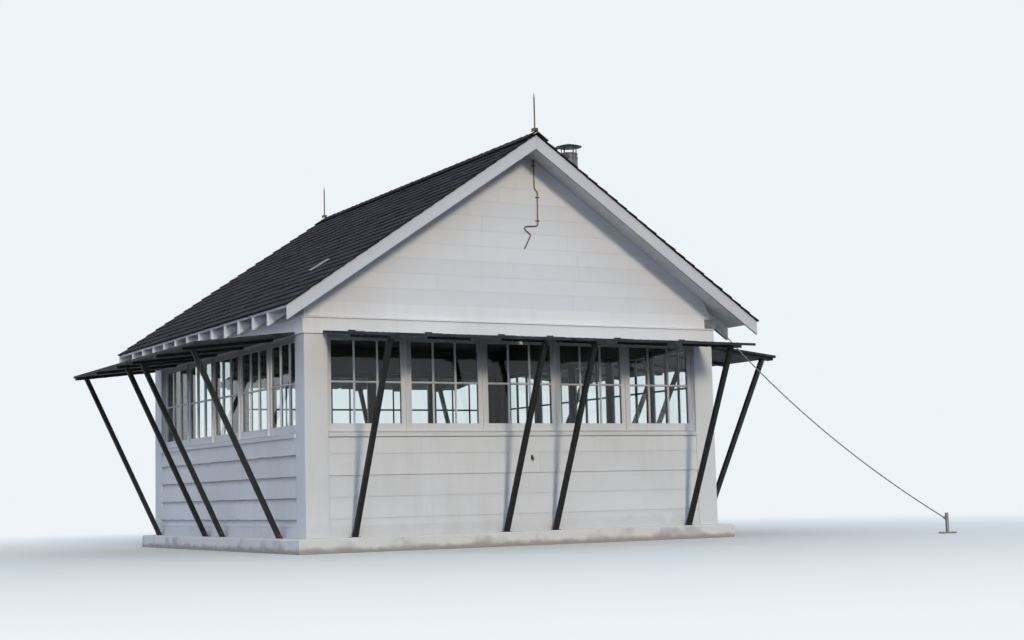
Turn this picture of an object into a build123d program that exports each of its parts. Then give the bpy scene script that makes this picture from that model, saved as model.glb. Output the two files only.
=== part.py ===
from build123d import *
import os
from math import atan, atan2, cos, hypot, radians, sin, tan

# Ground fire lookout cab: a square timber room with a window band on all four sides,
# propped-open shutters and a gable roof. Millimetres, +Z up, +X to the right of the front
# wall, +Y to the rear. The origin is the middle of the foundation's underside.

os.makedirs("parts", exist_ok=True)

FOOT = 304.8
UP = Vector(0, 0, 1)

# Cab outline, over the corner boards
cab_width = 14 * FOOT
cab_depth = 14 * FOOT

# Foundation and floor
foundation_height = 125
foundation_margin = 110
foundation_chamfer = 12
floor_thickness = 40

# Walls
wall_thickness = 120
corner_board = 19
corner_width = 215
skirt_height = 100
skirt_thickness = 12

# Window band
sash_count = 5
sill_top = 1037
sill_thickness = 50
sill_nose = 17
sill_projection = 30
head_height = 1872
jamb_width = 10
mullion_width = 20
mullion_depth = 90
sash_thickness = 35
sash_setback = 30
stile_width = 40
top_rail = 45
bottom_rail = 65
glass_thickness = 4

# Header over the windows, with its outside trim belt
header_depth = 278
belt_height = 136
belt_thickness = 19
block_thickness = 30

# Door in the rear wall, beside the rear left corner
door_header = 50
door_jamb = 20
door_gap = 3
door_thickness = 45
door_stile = 95
door_lock_rail_top = 1020
door_lock_rail = 160
door_bottom_rail = 190
door_panel_recess = 14
knob_height = 775
knob_diameter = 54
knob_thickness = 18
knob_neck = 22
knob_reach = 55
rose_diameter = 60
rose_thickness = 6

# Roof
roof_pitch = 34
heel_cut = 25
rafter_depth = 92
rafter_width = 41
rafter_count = 12
tail_reach = 282
ridge_board_width = 25
ridge_board_depth = 140
deck_thickness = 24
eave_reach = 290
gable_overhang = 360
shingle_thickness = 22
shingle_drip = 18
ridge_cap_width = 130
ridge_cap_thickness = 16
barge_width = 105
barge_thickness = 25
barge_joint = 2
gable_thickness = 100
ceiling_thickness = 22
ceiling_clearance = 19

# Shutters, hinged on the belt, and the props that hold them up
hinge_rise = 25
shutter_length = 910
shutter_droop = 6.5
shutter_thickness = 24
shutter_margin = 165
shutter_gap = 40
rib_thickness = 24
rib_width = 90
rib_start = 70
rib_end = 10
rib_count = 3
prop_width = 40
prop_depth = 42
prop_reach = 780
prop_foot_gap = 6
gable_prop_insets = (270, 200)
side_prop_insets = (80, 380)

# Stovepipe
pipe_x = 1195
pipe_bay_count = 3
pipe_diameter = 178
pipe_wall = 4
pipe_over_ridge = 148
flashing_rise = 120
flashing_flare = 70
cap_diameter = 270
cap_crown = 70
cap_gap = 68
cap_height = 28
cap_leg = 14
cap_leg_count = 4

# Lightning rods and the conductor on the front gable
rod_diameter = 14
rod_height = 300
rod_tip_height = 60
rod_inset = 35
saddle_length = 50
saddle_width = 44
saddle_height = 18
conductor_diameter = 12
conductor_top_x = 170
conductor_clearance = 1
conductor_sides = 8
conductor_route = [(173, 1133), (205, 1100), (200, 780), (25, 765), (124, 694), (53, 558)]
conductor_bends = [28, 28, 28, 20, 20]

# Guy cable from the front right corner
guy_diameter = 12
guy_reach = 2115
guy_anchor_height = 150
guy_sag = 108
bracket_gap = 15
bracket_leg = 75
bracket_height = 90
bracket_thickness = 6
lug_reach = 50
lug_thickness = 8
socket_diameter = 24
socket_length = 40
stake_diameter = 32
stake_setback = 32
anchor_plate = 160
anchor_plate_thickness = 12

half_width = cab_width / 2
half_depth = cab_depth / 2
leg = corner_board + wall_thickness
plate_top = head_height + header_depth
door_head = plate_top - door_header
slope = tan(radians(roof_pitch))
lean = cos(radians(roof_pitch))


class Side:
    """One wall of the cab, drawn from outside: x runs to the viewer's right, y up, z outward."""

    def __init__(self, name, origin, right, outward, length, gable):
        self.name = name
        self.plane = Plane(origin=origin, x_dir=right, z_dir=outward)
        self.gable = gable
        self.has_door = name == "rear"
        self.half = length / 2
        self.open_half = self.half - corner_width
        clear = 2 * (self.open_half - jamb_width) - (sash_count - 1) * mullion_width
        self.sash_width = clear / sash_count
        self.first = -self.open_half + jamb_width + self.sash_width / 2
        self.pitch = self.sash_width + mullion_width
        self.sashes = sash_count - 1 if self.has_door else sash_count
        self.wall_end = self.open_half
        if self.has_door:
            self.wall_end = self.first + (self.sashes - 0.5) * self.pitch + mullion_width / 2

    def face(self, inset=0):
        """The plane parallel to this wall, a distance inside the cab's outline."""
        return self.plane.offset(-inset)

    def section(self, along):
        """The upright plane across this wall: x is outward and y is up."""
        outward = self.plane.z_dir
        middle = self.plane.origin + self.plane.x_dir * along
        return Plane(origin=middle, x_dir=outward, z_dir=outward.cross(UP))

    def sash_centres(self):
        return [self.first + i * self.pitch for i in range(self.sashes)]

    def mullion_centres(self):
        posts = self.sashes if self.has_door else self.sashes - 1
        return [self.first + (i + 0.5) * self.pitch for i in range(posts)]

    def shutter_spans(self):
        start = shutter_margin - self.half
        stop = self.wall_end if self.has_door else -start
        width = (stop - start - shutter_gap) / 2
        return [(start, start + width), (stop - width, stop)]

    def prop_places(self, span):
        low, high = gable_prop_insets if self.gable else side_prop_insets
        return [span[0] + low, span[1] - high]


sides = [
    Side("front", (0, -half_depth, 0), (1, 0, 0), (0, -1, 0), cab_width, gable=True),
    Side("right", (half_width, 0, 0), (0, 1, 0), (1, 0, 0), cab_depth, gable=False),
    Side("rear", (0, half_depth, 0), (-1, 0, 0), (0, 1, 0), cab_width, gable=True),
    Side("left", (-half_width, 0, 0), (0, -1, 0), (-1, 0, 0), cab_depth, gable=False),
]
rear = sides[2]


def block(low_x, high_x, low_y, high_y):
    """A rectangle between two corners of the sketch in hand."""
    with Locations(((low_x + high_x) / 2, (low_y + high_y) / 2)):
        Rectangle(high_x - low_x, high_y - low_y)


# Foundation: one low concrete slab that runs a little past the walls
with BuildPart() as foundation:
    with BuildSketch():
        Rectangle(cab_width + 2 * foundation_margin, cab_depth + 2 * foundation_margin)
    extrude(amount=foundation_height)
    chamfer(foundation.edges().group_by(Axis.Z)[-1], foundation_chamfer)
foundation.part.label = "foundation"
export_step(foundation.part, "parts/foundation.step")

# Floor deck, between the walls
floor_top = foundation_height + floor_thickness
with BuildPart() as floor_deck:
    with BuildSketch(Plane.XY.offset(foundation_height)):
        Rectangle(cab_width - 2 * leg, cab_depth - 2 * leg)
    extrude(amount=floor_thickness)
floor_deck.part.label = "floor_deck"
export_step(floor_deck.part, "parts/floor_deck.step")

# Low walls under the windows, each with a skirt board at its foot
for side in sides:
    with BuildPart() as low_wall:
        with BuildSketch(side.face(corner_board)):
            block(-side.open_half, side.wall_end, foundation_height, sill_top - sill_thickness)
        extrude(amount=-wall_thickness)
        with BuildSketch(side.face(corner_board)):
            block(-side.open_half, side.wall_end, foundation_height, foundation_height + skirt_height)
        extrude(amount=skirt_thickness)
    low_wall.part.label = f"{side.name}_wall"
    export_step(low_wall.part, f"parts/{low_wall.part.label}.step")

# Corner posts, L-shaped in plan, with the wide corner boards as their outer faces
with BuildPart() as corner_posts:
    with BuildSketch(Plane.XY.offset(foundation_height)):
        for y_sign in (-1, 1):
            for x_sign in (-1, 1):
                with Locations((x_sign * (half_width - corner_width / 2), y_sign * (half_depth - leg / 2))):
                    Rectangle(corner_width, leg)
                with Locations((x_sign * (half_width - leg / 2), y_sign * (half_depth - corner_width / 2))):
                    Rectangle(leg, corner_width)
    extrude(amount=head_height - foundation_height)
corner_posts.part.label = "corner_posts"
export_step(corner_posts.part, "parts/corner_posts.step")

# Window frames: a sloped sill, end jambs and the mullions that stand on it
for side in sides:
    with BuildPart() as window_frame:
        with BuildSketch(side.section(-side.open_half)) as sill_profile:
            with BuildLine():
                Polyline(
                    (-leg, sill_top - sill_thickness),
                    (sill_projection - corner_board, sill_top - sill_thickness),
                    (sill_projection - corner_board, sill_top - sill_nose),
                    (-corner_board - sash_setback, sill_top),
                    (-leg, sill_top),
                    close=True,
                )
            make_face()
        extrude(amount=-(side.wall_end + side.open_half))
        with BuildSketch(side.face(corner_board + sash_setback / 2)):
            foot = sill_top - sill_thickness / 2
            block(-side.open_half, jamb_width - side.open_half, foot, head_height)
            if not side.has_door:
                block(side.open_half - jamb_width, side.open_half, foot, head_height)
            for centre in side.mullion_centres():
                block(centre - mullion_width / 2, centre + mullion_width / 2, foot, head_height)
        extrude(amount=-mullion_depth)
    window_frame.part.label = f"{side.name}_window_frame"
    export_step(window_frame.part, f"parts/{window_frame.part.label}.step")

# Sashes, five to a wall and four beside the door
pane_middle = corner_board + sash_setback + sash_thickness / 2
light_low = sill_top + bottom_rail
light_high = head_height - top_rail
for side in sides:
    light_width = side.sash_width - 2 * stile_width
    with BuildPart() as sashes:
        with BuildSketch(side.face(corner_board + sash_setback)):
            for centre in side.sash_centres():
                with Locations((centre, (sill_top + head_height) / 2)):
                    Rectangle(side.sash_width, head_height - sill_top)
                with Locations((centre, (light_low + light_high) / 2)):
                    Rectangle(light_width, light_high - light_low, mode=Mode.SUBTRACT)
        extrude(amount=-sash_thickness)
    sashes.part.label = f"{side.name}_sashes"
    export_step(sashes.part, f"parts/{sashes.part.label}.step")

# Glass, one sheet in the middle of each sash and one in the door
door_left = rear.wall_end + door_jamb + door_gap
door_right = rear.open_half - door_jamb - door_gap
door_top = door_head - door_jamb - door_gap
with BuildPart() as glass:
    for side in sides:
        light_width = side.sash_width - 2 * stile_width
        with BuildSketch(side.face(pane_middle - glass_thickness / 2)):
            for centre in side.sash_centres():
                with Locations((centre, (light_low + light_high) / 2)):
                    Rectangle(light_width, light_high - light_low)
        extrude(amount=-glass_thickness)
    with BuildSketch(rear.face(pane_middle - glass_thickness / 2)):
        block(door_left + door_stile, door_right - door_stile, door_lock_rail_top, door_top - door_stile)
    extrude(amount=-glass_thickness)
glass.part.label = "glass"
export_step(glass.part, "parts/glass.step")

# Door frame and door, with a glazed upper half and one sunk panel below
with BuildPart() as door_frame:
    with BuildSketch(rear.face()):
        block(rear.wall_end, rear.open_half, foundation_height, door_head)
    extrude(amount=-leg)
    with BuildSketch(rear.face()):
        block(rear.wall_end + door_jamb, rear.open_half - door_jamb, floor_top, door_head - door_jamb)
    extrude(amount=-leg, mode=Mode.SUBTRACT)
door_frame.part.label = "door_frame"
export_step(door_frame.part, "parts/door_frame.step")

with BuildPart() as door:
    door_face = pane_middle - door_thickness / 2
    with BuildSketch(rear.face(door_face)):
        block(door_left, door_right, floor_top, door_top)
    extrude(amount=-door_thickness)
    with BuildSketch(rear.face(door_face)):
        block(door_left + door_stile, door_right - door_stile, door_lock_rail_top, door_top - door_stile)
    extrude(amount=-door_thickness, mode=Mode.SUBTRACT)
    panel_low = floor_top + door_bottom_rail
    panel_high = door_lock_rail_top - door_lock_rail
    with BuildSketch(rear.face(door_face)):
        block(door_left + door_stile, door_right - door_stile, panel_low, panel_high)
    extrude(amount=-door_panel_recess, mode=Mode.SUBTRACT)
    with BuildSketch(rear.face(door_face + door_thickness)):
        block(door_left + door_stile, door_right - door_stile, panel_low, panel_high)
    extrude(amount=door_panel_recess, mode=Mode.SUBTRACT)
door.part.label = "door"
export_step(door.part, "parts/door.step")

# Door knobs with their roses, one on each face of the lock stile
knob_place = (door_left + door_stile / 2, floor_top + knob_height)
with BuildPart() as door_knobs:
    for face, turn in ((rear.face(door_face), 1), (rear.face(door_face + door_thickness), -1)):
        with BuildSketch(face):
            with Locations(knob_place):
                Circle(rose_diameter / 2)
        extrude(amount=turn * rose_thickness)
        with BuildSketch(face):
            with Locations(knob_place):
                Circle(knob_neck / 2)
        extrude(amount=turn * (knob_reach - knob_thickness))
        with BuildSketch(face.offset(turn * (knob_reach - knob_thickness))):
            with Locations(knob_place):
                Circle(knob_diameter / 2)
        extrude(amount=turn * knob_thickness)
door_knobs.part.label = "door_knobs"
export_step(door_knobs.part, "parts/door_knobs.step")


def under_rafter(inward):
    """Height of the rafters' underside, a distance inward from the side wall's face."""
    return plate_top - heel_cut + inward * slope


rafter_rise = rafter_depth / lean
deck_rise = deck_thickness / lean
shingle_rise = shingle_thickness / lean
cap_rise = ridge_cap_thickness / lean
rafter_run = cab_depth - 2 * gable_thickness - rafter_width
rafter_pitch = rafter_run / (rafter_count - 1)
rafter_places = [i * rafter_pitch - rafter_run / 2 for i in range(rafter_count)]
pipe_y = (pipe_bay_count - 0.5) * rafter_pitch - rafter_run / 2
ceiling_inset = (heel_cut + ceiling_thickness) / slope + ceiling_clearance

# Headers over the windows with the trim belt outside, and on the eaves sides the blocks
# that close the gaps between the rafters
for side in sides:
    with BuildPart() as header:
        reach = side.half if side.gable else side.half - leg
        belt_reach = side.half + belt_thickness if side.gable else side.half
        with BuildSketch(side.face()):
            block(-reach, reach, head_height, plate_top)
        extrude(amount=-leg)
        with BuildSketch(side.face()):
            block(-belt_reach, belt_reach, head_height, head_height + belt_height)
        extrude(amount=belt_thickness)
        if side.has_door:
            with BuildSketch(side.face(-belt_thickness)):
                block(side.wall_end, side.open_half, head_height, door_head)
            extrude(amount=-leg - belt_thickness, mode=Mode.SUBTRACT)
        if not side.gable:
            gap = rafter_pitch - rafter_width
            for place in rafter_places[:-1]:
                with BuildSketch(side.section(place + rafter_pitch / 2)):
                    with BuildLine():
                        Polyline(
                            (0, plate_top),
                            (0, under_rafter(0) + rafter_rise),
                            (-block_thickness, under_rafter(block_thickness) + rafter_rise),
                            (-block_thickness, plate_top),
                            close=True,
                        )
                    make_face()
                extrude(amount=gap / 2, both=True)
    header.part.label = f"{side.name}_header"
    export_step(header.part, f"parts/{header.part.label}.step")

# Ceiling boards on the side headers, between the gables
with BuildPart() as ceiling:
    with BuildSketch(Plane.XY.offset(plate_top)):
        Rectangle(cab_width - 2 * ceiling_inset, cab_depth - 2 * gable_thickness)
    extrude(amount=ceiling_thickness)
ceiling.part.label = "ceiling"
export_step(ceiling.part, "parts/ceiling.step")

# Rafters, notched over the side headers, with plumb-cut tails under the eaves
ridge_side = ridge_board_width / 2
for x_sign, slope_name in ((-1, "left"), (1, "right")):
    with BuildPart() as rafters:
        tail_x = half_width + tail_reach
        for place in rafter_places:
            with BuildSketch(Plane.XZ.offset(-place)):
                with BuildLine():
                    Polyline(
                        (x_sign * tail_x, under_rafter(-tail_reach)),
                        (x_sign * tail_x, under_rafter(-tail_reach) + rafter_rise),
                        (x_sign * ridge_side, under_rafter(half_width - ridge_side) + rafter_rise),
                        (x_sign * ridge_side, under_rafter(half_width - ridge_side)),
                        (x_sign * (half_width - heel_cut / slope), plate_top),
                        (x_sign * half_width, plate_top),
                        (x_sign * half_width, under_rafter(0)),
                        close=True,
                    )
                make_face()
            extrude(amount=rafter_width / 2, both=True)
    rafters.part.label = f"{slope_name}_rafters"
    export_step(rafters.part, f"parts/{rafters.part.label}.step")

# Ridge board between the rafters' upper ends
with BuildPart() as ridge_board:
    top = under_rafter(half_width - ridge_side) + rafter_rise
    with BuildSketch(Plane.XZ.offset(-(half_depth - gable_thickness))):
        block(-ridge_side, ridge_side, top - ridge_board_depth, top)
    extrude(amount=cab_depth - 2 * gable_thickness)
ridge_board.part.label = "ridge_board"
export_step(ridge_board.part, "parts/ridge_board.step")

# Gable walls, from the headers up to the roof deck
for side in (sides[0], sides[2]):
    with BuildPart() as gable:
        with BuildSketch(side.face()):
            with BuildLine():
                Polyline(
                    (-half_width, plate_top),
                    (half_width, plate_top),
                    (half_width, under_rafter(0) + rafter_rise),
                    (0, under_rafter(half_width) + rafter_rise),
                    (-half_width, under_rafter(0) + rafter_rise),
                    close=True,
                )
            make_face()
        extrude(amount=-gable_thickness)
    gable.part.label = f"{side.name}_gable"
    export_step(gable.part, f"parts/{gable.part.label}.step")


def roof_layer(x_sign, lift, rise, reach):
    """Corners of one slope's layer: lift is its height over the rafters' underside."""
    return [
        (x_sign * (half_width + reach), under_rafter(-reach) + lift),
        (x_sign * (half_width + reach), under_rafter(-reach) + lift + rise),
        (0, under_rafter(half_width) + lift + rise),
        (0, under_rafter(half_width) + lift),
    ]


roof_rise = rafter_rise + deck_rise + shingle_rise
ridge_height = under_rafter(half_width) + roof_rise
pipe_top = ridge_height + cap_rise + pipe_over_ridge

# Roof decks and shingle coats, one of each a slope; the right slope is holed for the pipe
deck_half = half_depth + gable_overhang - barge_thickness
shingle_half = half_depth + gable_overhang + shingle_drip
for x_sign, slope_name in ((-1, "left"), (1, "right")):
    with BuildPart() as deck:
        with BuildSketch(Plane.XZ):
            with BuildLine():
                Polyline(*roof_layer(x_sign, rafter_rise, deck_rise, eave_reach), close=True)
            make_face()
        extrude(amount=deck_half, both=True)
        if x_sign > 0:
            with Locations((pipe_x, pipe_y, 0)):
                Cylinder(
                    pipe_diameter / 2,
                    pipe_top,
                    align=(Align.CENTER, Align.CENTER, Align.MIN),
                    mode=Mode.SUBTRACT,
                )
    deck.part.label = f"{slope_name}_roof_deck"
    export_step(deck.part, f"parts/{deck.part.label}.step")

    with BuildPart() as shingles:
        lift = rafter_rise + deck_rise
        with BuildSketch(Plane.XZ):
            with BuildLine():
                reach = eave_reach + shingle_drip
                Polyline(*roof_layer(x_sign, lift, shingle_rise, reach), close=True)
            make_face()
        extrude(amount=shingle_half, both=True)
        if x_sign > 0:
            with Locations((pipe_x, pipe_y, 0)):
                Cylinder(
                    pipe_diameter / 2,
                    pipe_top,
                    align=(Align.CENTER, Align.CENTER, Align.MIN),
                    mode=Mode.SUBTRACT,
                )
    shingles.part.label = f"{slope_name}_shingles"
    export_step(shingles.part, f"parts/{shingles.part.label}.step")

# Ridge cap, a bent strip over both slopes
cap_run = ridge_cap_width * lean
with BuildPart() as ridge_cap:
    with BuildSketch(Plane.XZ):
        with BuildLine():
            Polyline(
                (-cap_run, ridge_height - cap_run * slope),
                (0, ridge_height),
                (cap_run, ridge_height - cap_run * slope),
                (cap_run, ridge_height - cap_run * slope + cap_rise),
                (0, ridge_height + cap_rise),
                (-cap_run, ridge_height - cap_run * slope + cap_rise),
                close=True,
            )
        make_face()
    extrude(amount=shingle_half, both=True)
ridge_cap.part.label = "ridge_cap"
export_step(ridge_cap.part, "parts/ridge_cap.step")

# Barge boards, nailed to the ends of the roof decks under the shingles
barge_rise = barge_width / lean
barge_lift = rafter_rise + deck_rise
with BuildPart() as barge_boards:
    inner = barge_joint / 2
    top_height = under_rafter(half_width - inner) + barge_lift
    tail_height = under_rafter(-eave_reach) + barge_lift
    for y_sign in (-1, 1):
        for x_sign in (-1, 1):
            with BuildSketch(Plane.XZ.offset(-y_sign * deck_half)):
                with BuildLine():
                    Polyline(
                        (x_sign * inner, top_height),
                        (x_sign * (half_width + eave_reach), tail_height),
                        (x_sign * (half_width + eave_reach), tail_height - barge_rise),
                        (x_sign * inner, top_height - barge_rise),
                        close=True,
                    )
                make_face()
            extrude(amount=-y_sign * barge_thickness)
barge_boards.part.label = "barge_boards"
export_step(barge_boards.part, "parts/barge_boards.step")

# Shutters: a boarded leaf with ribs on its underside, drooping a little from its hinges.
# In the section across a wall, the leaf's hinge corner touches the belt.
droop = radians(shutter_droop)
leaf_out = Vector(cos(droop), -sin(droop))
leaf_down = Vector(-sin(droop), -cos(droop))
hinge = Vector(belt_thickness + shutter_thickness * sin(droop), head_height + hinge_rise)


def leaf_point(out, down):
    """A point of the open shutter's section, from its hinge corner."""
    spot = hinge + leaf_out * out + leaf_down * down
    return (spot.X, spot.Y)


for side in sides:
    with BuildPart() as shutters:
        for span in side.shutter_spans():
            with BuildSketch(side.section((span[0] + span[1]) / 2)):
                with BuildLine():
                    Polyline(
                        leaf_point(0, 0),
                        leaf_point(shutter_length, 0),
                        leaf_point(shutter_length, shutter_thickness),
                        leaf_point(0, shutter_thickness),
                        close=True,
                    )
                make_face()
            extrude(amount=(span[1] - span[0]) / 2, both=True)
            first, last = side.prop_places(span)
            rib_step = (last - first) / (rib_count - 1)
            for i in range(rib_count):
                with BuildSketch(side.section(first + i * rib_step)):
                    with BuildLine():
                        Polyline(
                            leaf_point(rib_start, shutter_thickness),
                            leaf_point(shutter_length - rib_end, shutter_thickness),
                            leaf_point(shutter_length - rib_end, shutter_thickness + rib_thickness),
                            leaf_point(rib_start, shutter_thickness + rib_thickness),
                            close=True,
                        )
                    make_face()
                extrude(amount=rib_width / 2, both=True)
    shutters.part.label = f"{side.name}_shutters"
    export_step(shutters.part, f"parts/{shutters.part.label}.step")

# Props: square bars from the foundation's ledge up to the ribs, cut flat at both ends
rib_face = shutter_thickness + rib_thickness


def rib_height(out):
    """Height of the ribs' underside, a distance outward from the wall."""
    near = leaf_point(0, rib_face)
    return near[1] - (out - near[0]) * tan(droop)


prop_rise = rib_height(prop_reach) - foundation_height
prop_slope = prop_rise / (prop_reach - prop_foot_gap)
foot_in = prop_foot_gap
foot_out = foot_in + prop_depth * hypot(1, prop_slope) / prop_slope


def prop_top(foot):
    """Where a prop's edge, from its foot on the ledge, meets the ribs' underside."""
    out = (rib_height(0) - foundation_height + foot * prop_slope) / (prop_slope + tan(droop))
    return (out, rib_height(out))


for side in sides:
    with BuildPart() as props:
        for span in side.shutter_spans():
            for place in side.prop_places(span):
                with BuildSketch(side.section(place)):
                    with BuildLine():
                        Polyline(
                            (foot_in, foundation_height),
                            (foot_out, foundation_height),
                            prop_top(foot_out),
                            prop_top(foot_in),
                            close=True,
                        )
                    make_face()
                extrude(amount=prop_width / 2, both=True)
    props.part.label = f"{side.name}_props"
    export_step(props.part, f"parts/{props.part.label}.step")

# Stovepipe, from the ceiling up through the right slope between two rafters
roof_at_pipe = under_rafter(half_width - pipe_x) + roof_rise
with BuildPart() as stovepipe:
    ceiling_top = plate_top + ceiling_thickness
    with BuildSketch(Plane.XY.offset(ceiling_top)):
        with Locations((pipe_x, pipe_y)):
            Circle(pipe_diameter / 2)
            Circle(pipe_diameter / 2 - pipe_wall, mode=Mode.SUBTRACT)
    extrude(amount=pipe_top - ceiling_top)
stovepipe.part.label = "stovepipe"
export_step(stovepipe.part, "parts/stovepipe.step")

# Flashing cone round the pipe, cut to the roof's slope underneath
with BuildPart() as flashing:
    flare = pipe_diameter / 2 + flashing_flare
    cone_base = roof_at_pipe - flare * slope
    cone_top = roof_at_pipe + flashing_rise
    with Locations((pipe_x, pipe_y, cone_base)):
        Cone(
            flare,
            pipe_diameter / 2 + pipe_wall,
            cone_top - cone_base,
            align=(Align.CENTER, Align.CENTER, Align.MIN),
        )
    clear = 2 * flare
    with BuildSketch(Plane.XZ.offset(-pipe_y)):
        with BuildLine():
            Polyline(
                (pipe_x - clear, roof_at_pipe + clear * slope),
                (pipe_x + clear, roof_at_pipe - clear * slope),
                (pipe_x - clear, roof_at_pipe - clear * slope),
                close=True,
            )
        make_face()
    extrude(amount=clear, both=True, mode=Mode.SUBTRACT)
    with Locations((pipe_x, pipe_y, 0)):
        Cylinder(
            pipe_diameter / 2,
            pipe_top,
            align=(Align.CENTER, Align.CENTER, Align.MIN),
            mode=Mode.SUBTRACT,
        )
flashing.part.label = "pipe_flashing"
export_step(flashing.part, "parts/pipe_flashing.step")

# Rain cap: a shallow lid on four legs that stand on the pipe's rim
with BuildPart() as pipe_cap:
    rim = pipe_diameter / 2 - pipe_wall / 2
    with BuildSketch(Plane.XY.offset(pipe_top)):
        with Locations((pipe_x, pipe_y)):
            with PolarLocations(rim, cap_leg_count):
                Rectangle(pipe_wall, cap_leg)
    extrude(amount=cap_gap)
    with Locations((pipe_x, pipe_y, pipe_top + cap_gap)):
        Cone(
            cap_diameter / 2,
            cap_crown / 2,
            cap_height,
            align=(Align.CENTER, Align.CENTER, Align.MIN),
        )
pipe_cap.part.label = "pipe_cap"
export_step(pipe_cap.part, "parts/pipe_cap.step")

# Lightning rods at both ends of the ridge, on saddles cut to straddle the ridge cap
rod_place = shingle_half - rod_inset
cap_peak = ridge_height + cap_rise
with BuildPart() as lightning_rods:
    for y_sign in (-1, 1):
        with Locations((0, y_sign * rod_place, cap_peak)):
            Box(saddle_width, saddle_length, 2 * saddle_height)
        with BuildSketch(Plane.XY.offset(cap_peak)):
            with Locations((0, y_sign * rod_place)):
                Circle(rod_diameter / 2)
        extrude(amount=rod_height)
        with Locations((0, y_sign * rod_place, cap_peak + rod_height + rod_tip_height / 2)):
            Cone(rod_diameter / 2, 0, rod_tip_height)
    with BuildSketch(Plane.XZ):
        with BuildLine():
            Polyline(
                (-cap_run, cap_peak - cap_run * slope),
                (0, cap_peak),
                (cap_run, cap_peak - cap_run * slope),
                close=True,
            )
        make_face()
    extrude(amount=shingle_half, both=True, mode=Mode.SUBTRACT)
lightning_rods.part.label = "lightning_rods"
export_step(lightning_rods.part, "parts/lightning_rods.step")

# Lightning conductor, lying on the front gable from the soffit to its loose lower end
with BuildPart() as conductor:
    wall_line = Plane.XZ.offset(half_depth + conductor_diameter / 2)
    top_height = (
        under_rafter(half_width - conductor_top_x - conductor_diameter / 2)
        + rafter_rise
        - conductor_clearance
    )
    route = [(conductor_top_x, top_height)] + [(x, plate_top + rise) for x, rise in conductor_route]
    with BuildLine(wall_line) as conductor_path:
        FilletPolyline(*route, radius=conductor_bends)
    start = conductor_path.line @ 0
    with BuildSketch(Plane(origin=start, z_dir=conductor_path.line % 0)):
        RegularPolygon(conductor_diameter / 2, conductor_sides)
    sweep()
conductor.part.label = "lightning_conductor"
export_step(conductor.part, "parts/lightning_conductor.step")

# Guy cable: a slightly sagging wire rope from the front right corner to a ground anchor
guy_height = head_height + belt_height + bracket_gap + bracket_height / 2
outward = Vector(1, -1, 0).normalized()
corner = Vector(half_width, -half_depth, 0)
guy_root = corner + outward * lug_reach + UP * guy_height
guy_end = corner + outward * guy_reach + UP * guy_anchor_height
guy_fall = atan2(guy_height - guy_anchor_height, guy_reach - lug_reach)
guy_fall += 2 * atan(2 * guy_sag / (guy_end - guy_root).length)
guy_lead = outward * cos(guy_fall) - UP * sin(guy_fall)
guy_start = guy_root + guy_lead * socket_length
with BuildPart() as guy_cable:
    with BuildLine() as guy_path:
        TangentArc(guy_start, guy_end, tangent=guy_lead)
    with BuildSketch(Plane(origin=guy_start, z_dir=guy_lead)):
        Circle(guy_diameter / 2)
    sweep()
guy_cable.part.label = "guy_cable"
export_step(guy_cable.part, "parts/guy_cable.step")

# Corner bracket: an angle plate wrapped round the corner, a lug and the cable's socket
with BuildPart() as guy_bracket:
    with BuildSketch(Plane.XY.offset(guy_height - bracket_height / 2)):
        block(half_width - bracket_leg, half_width, -half_depth - bracket_thickness, -half_depth)
        block(
            half_width,
            half_width + bracket_thickness,
            -half_depth - bracket_thickness,
            bracket_leg - half_depth,
        )
    extrude(amount=bracket_height)
    lug_middle = corner + outward * (lug_reach / 2 + bracket_thickness)
    with BuildSketch(Plane.XY.offset(guy_height - bracket_height / 2)):
        with Locations((lug_middle.X, lug_middle.Y)):
            Rectangle(lug_reach, lug_thickness, rotation=-45)
    extrude(amount=bracket_height)
    with BuildSketch(Plane(origin=guy_root, z_dir=guy_lead)):
        Circle(socket_diameter / 2)
    extrude(amount=socket_length)
guy_bracket.part.label = "guy_bracket"
export_step(guy_bracket.part, "parts/guy_bracket.step")

# Ground anchor: a stake on a plate, with the socket that takes the cable's lower end
stake_top = guy_anchor_height + socket_length
stake_foot = guy_end + outward * stake_setback
with BuildPart() as guy_anchor:
    with BuildSketch():
        with Locations((stake_foot.X, stake_foot.Y)):
            Rectangle(anchor_plate, anchor_plate, rotation=45)
    extrude(amount=anchor_plate_thickness)
    with BuildSketch():
        with Locations((stake_foot.X, stake_foot.Y)):
            Circle(stake_diameter / 2)
    extrude(amount=stake_top)
    with BuildSketch(Plane(origin=guy_end, z_dir=guy_path.line % 1)):
        Circle(socket_diameter / 2)
    extrude(amount=socket_length)
guy_anchor.part.label = "guy_anchor"
export_step(guy_anchor.part, "parts/guy_anchor.step")
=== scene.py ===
import math
import random

import bmesh
import bpy
from mathutils import Matrix, Vector


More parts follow.
